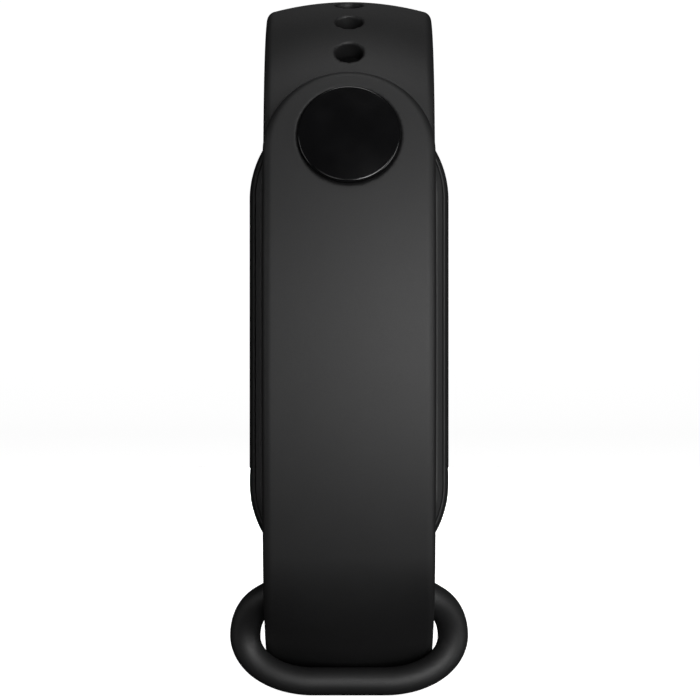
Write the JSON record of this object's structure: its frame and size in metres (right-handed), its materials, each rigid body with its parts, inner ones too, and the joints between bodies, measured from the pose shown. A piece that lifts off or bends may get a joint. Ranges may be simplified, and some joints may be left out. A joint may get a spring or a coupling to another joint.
{
  "type": "fitness tracker band",
  "caption": "Rubber wristband with a peg-and-hole clasp and keeper loop, carrying a sealed sensor capsule that pushes out of its cradle.",
  "frame": {"origin": "middle of the wrist opening, on the wrist's axis", "axes": "+X along the wrist, across the strap; +Z along the loop's long way, with the holed arm at the top; +Y from the clasp towards the capsule's glass"},
  "size_m": [0.0228, 0.0521, 0.067],
  "materials": {
    "strap_rubber": "matte moulded silicone rubber",
    "stud_gloss": "polished black",
    "housing_black": "fine moulded texture",
    "cover_glass": "black-backed polished glass",
    "adhesive": "thin adhesive gasket",
    "touch_film": "laminated sensor film",
    "display": "dark unlit panel",
    "foam": "black foam",
    "flex_film": "amber flexible circuit film",
    "frame_plastic": "grey moulded frame",
    "circuit_board": "green solder mask",
    "chip_black": "moulded chip package",
    "shield_metal": "tinned sheet",
    "connector": "ivory moulded connector",
    "battery_foil": "foil pouch",
    "lead_red": "insulated wire",
    "lead_blue": "insulated wire",
    "motor_steel": "drawn steel can",
    "weight_metal": "sintered tungsten",
    "led_green": "lens over green emitter",
    "photodiode": "dark silicon under clear resin",
    "sensor_window": "polished dark window",
    "contact_gold": "gold-plated contact",
    "magnet": "nickel-plated magnet",
    "antenna_metal": "stamped strip",
    "screw_steel": "small steel screw"
  },
  "bodies": {
    "strap": {"strap_cradle": "strap_rubber", "strap_hole_arm": "strap_rubber", "keeper_loop": "strap_rubber", "strap_stud_arm": "strap_rubber"},
    "strap_end": {"strap_tail": "strap_rubber", "stud_cap": "stud_gloss", "stud_post": "stud_gloss"},
    "capsule": {"rear_housing": "housing_black", "cover_glass": "cover_glass", "glass_adhesive": "adhesive", "touch_sensor": "touch_film", "display_panel": "display", "display_foam": "foam", "display_flex": "flex_film", "inner_frame": "frame_plastic", "main_board": "circuit_board", "processor": "chip_black", "board_chips": "chip_black", "shield_can": "shield_metal", "board_connectors": "connector", "battery_cell": "battery_foil", "battery_board": "circuit_board", "battery_leads": "lead_red", "motor_can": "motor_steel", "motor_boot": "adhesive", "motor_leads": "lead_blue", "sensor_board": "circuit_board", "green_leds": "led_green", "photodiodes": "photodiode", "light_barrier": "chip_black", "sensor_window": "sensor_window", "charge_contacts": "contact_gold", "contact_seals": "adhesive", "charger_magnets": "magnet", "antenna": "antenna_metal", "board_screws": "screw_steel"},
    "motor_rotor": {"motor_shaft": "motor_steel", "motor_weight": "weight_metal"}
  },
  "joints": [
    {"name": "clasp_peel", "type": "hinge", "parent": "strap", "child": "strap_end", "pos_m": [0, -0.02184, 0.00399], "axis": [1, 0, 0], "range_deg": [0, 75], "stiffness_Nm_per_rad": 0.004},
    {"name": "capsule_release", "type": "slide", "parent": "strap", "child": "capsule", "axis": [0, 1, 0], "range_m": [0, 0.016]},
    {"name": "motor_spin", "type": "hinge", "parent": "capsule", "child": "motor_rotor", "pos_m": [0, 0.0216, 0.01248], "axis": [1, 0, 0], "continuous": true}
  ]
}
